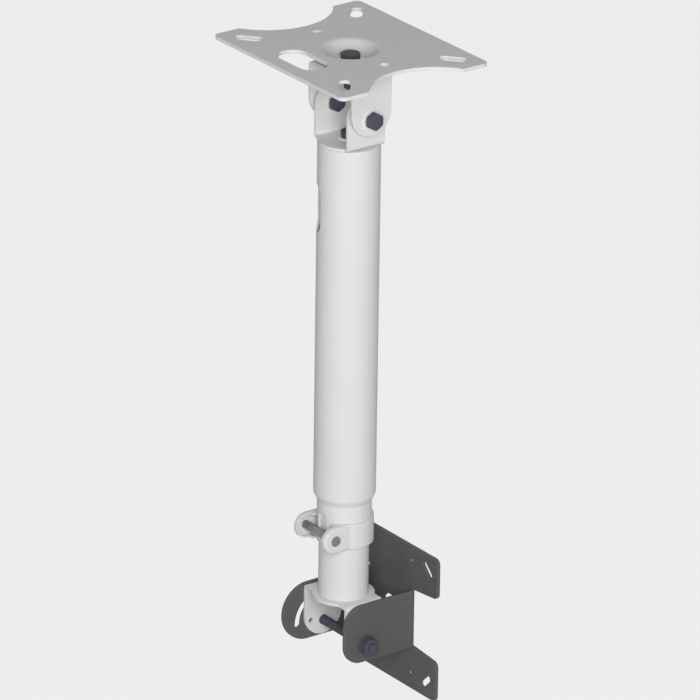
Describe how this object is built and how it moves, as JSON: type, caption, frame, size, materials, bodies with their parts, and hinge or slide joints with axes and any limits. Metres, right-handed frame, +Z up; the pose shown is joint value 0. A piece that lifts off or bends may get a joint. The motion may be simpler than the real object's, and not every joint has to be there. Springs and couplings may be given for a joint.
{
  "type": "monitor ceiling mount",
  "caption": "Ceiling mount for a flat screen: pressed plate, swivel and tilt clevis, sliding column with a clamp, and a folded bracket that tilts.",
  "frame": {"origin": "centre of the ceiling plate, in the plane of its top face", "axes": "+Z up into the ceiling, +Y towards the screen, +X along both tilt axes"},
  "size_m": [0.1738, 0.1428, 0.5591],
  "materials": {
    "light_paint": "satin",
    "dark_paint": "satin",
    "dark_steel": "dark plated",
    "plated_steel": "zinc plated",
    "plain_steel": "plain",
    "slide_plastic": "matte"
  },
  "bodies": {
    "ceiling": {"ceiling_plate": "light_paint", "swivel_bolt": "dark_steel", "swivel_head_washer": "plated_steel", "swivel_friction_washer": "slide_plastic", "swivel_lower_washer": "plated_steel", "swivel_nut": "dark_steel"},
    "swivel": {"upper_clevis": "light_paint", "tilt_bolts": "dark_steel", "tilt_head_washers": "plated_steel", "tilt_spacers": "plated_steel", "tilt_inner_washers": "plated_steel", "tilt_nuts": "dark_steel"},
    "tilt": {"lower_clevis": "light_paint", "base_bolt": "dark_steel", "base_head_washer": "plated_steel", "base_lower_washer": "plated_steel", "base_nut": "dark_steel"},
    "column": {"outer_tube": "light_paint", "tube_end_plate": "light_paint", "clamp_band": "light_paint", "clamp_pin": "plain_steel"},
    "bush": {"glide_bush": "slide_plastic"},
    "slide": {"inner_tube": "light_paint", "stop_screw": "plain_steel", "yoke": "light_paint", "pivot_bolt": "dark_steel", "pivot_washers": "dark_steel", "pivot_nut": "dark_steel", "pivot_friction_washers": "slide_plastic"},
    "screen": {"tilt_bracket": "dark_paint"}
  },
  "joints": [
    {"name": "ceiling_swivel", "type": "hinge", "parent": "ceiling", "child": "swivel", "pos_m": [0, 0, 0], "axis": [0, 0, 1], "continuous": true},
    {"name": "column_tilt", "type": "hinge", "parent": "swivel", "child": "tilt", "pos_m": [0, 0, -0.051], "axis": [1, 0, 0], "range_deg": [-75, 75]},
    {"name": "column_swivel", "type": "hinge", "parent": "tilt", "child": "column", "pos_m": [0, 0, 0], "axis": [0, 0, 1], "continuous": true},
    {"name": "column_slide", "type": "slide", "parent": "column", "child": "bush", "axis": [0, 0, 1], "range_m": [-0.145, 0.018]},
    {"name": "tube_turn", "type": "hinge", "parent": "bush", "child": "slide", "pos_m": [0, 0, 0], "axis": [0, 0, 1], "continuous": true},
    {"name": "screen_tilt", "type": "hinge", "parent": "slide", "child": "screen", "pos_m": [0, 0, -0.5062], "axis": [1, 0, 0], "range_deg": [-75, 8]}
  ]
}
